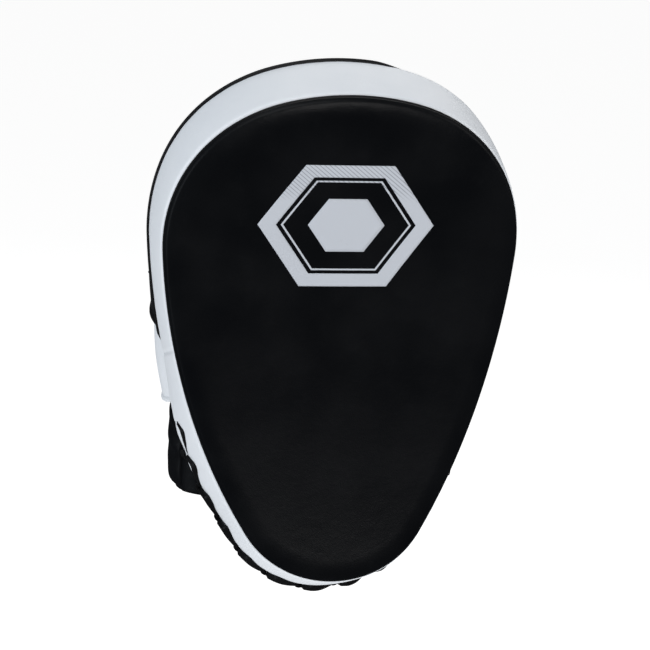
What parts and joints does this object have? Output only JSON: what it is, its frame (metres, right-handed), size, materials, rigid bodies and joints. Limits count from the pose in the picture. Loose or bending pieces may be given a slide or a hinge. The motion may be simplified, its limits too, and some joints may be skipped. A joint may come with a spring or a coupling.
{
  "type": "focus mitt",
  "caption": "Curved focus mitt: black leather strike face on a white foam-filled rim laced round its tip, with finger hood, thumb pocket, grip ball, padded cuff and wrist strap.",
  "frame": {"origin": "middle of the back panel's outer face, where the palm bears", "axes": "+Z towards the fingertips, the strike face looks along -Y and the hand side along +Y, thumb on the -X side"},
  "size_m": [0.1906, 0.1264, 0.2803],
  "materials": {
    "black_leather": "smooth fine-grain synthetic leather, satin",
    "white_leather": "smooth fine-grain synthetic leather, satin",
    "black_trim": "folded leather tape, piping and lace, satin",
    "black_strap": "leather-faced strap with stitched edges",
    "air_mesh": "open knitted spacer mesh",
    "hook_and_loop": "hook tape and brushed loop tape",
    "lining_cloth": "knitted lining cloth",
    "pale_print": "screen-printed ink film",
    "soft_foam": "soft closed-cell foam",
    "dense_foam": "dense layered foam"
  },
  "bodies": {
    "mitt": {"back_panel": "black_leather", "cuff_flap_gore": "black_leather", "cuff_thumb_wing_binding": "black_trim", "cuff_thumb_wing_gore": "black_leather", "cuff_thumb_wing_lining": "lining_cloth", "cuff_thumb_wing_padding": "soft_foam", "cuff_thumb_wing_shell": "black_leather", "edge_lacing": "black_trim", "face_emblem": "pale_print", "finger_hood_binding": "black_trim", "finger_hood_lining": "lining_cloth", "finger_hood_padding": "soft_foam", "finger_hood_shell": "white_leather", "firm_base_foam": "dense_foam", "front_piping": "black_trim", "hood_mesh_outer_side": "air_mesh", "hood_mesh_thumb_side": "air_mesh", "loop_tape": "hook_and_loop", "palm_ball": "dense_foam", "palm_ball_cover": "black_leather", "rear_piping": "black_trim", "shock_core_foam": "dense_foam", "side_gusset": "white_leather", "soft_face_foam": "soft_foam", "strike_face_cover": "black_leather", "thumb_pocket_binding": "black_trim", "thumb_pocket_lining": "lining_cloth", "thumb_pocket_padding": "soft_foam", "thumb_pocket_shell": "white_leather"},
    "cuff_flap": {"cuff_flap_shell": "black_leather", "cuff_flap_padding": "soft_foam", "cuff_flap_lining": "lining_cloth", "cuff_flap_binding": "black_trim", "strap_root": "black_strap"},
    "strap_end": {"strap_end": "black_strap", "hook_tape": "hook_and_loop", "strap_pull_tab": "black_leather"}
  },
  "joints": [
    {"name": "cuff_flap_hinge", "type": "hinge", "parent": "mitt", "child": "cuff_flap", "pos_m": [0.07376, 0.009, -0.0719], "axis": [0, 0, -1], "range_deg": [0, 40], "stiffness_Nm_per_rad": 0.05},
    {"name": "strap_fold", "type": "hinge", "parent": "cuff_flap", "child": "strap_end", "pos_m": [0.0242, 0.0638, -0.0728], "axis": [0, 0, -1], "range_deg": [0, 140]}
  ]
}
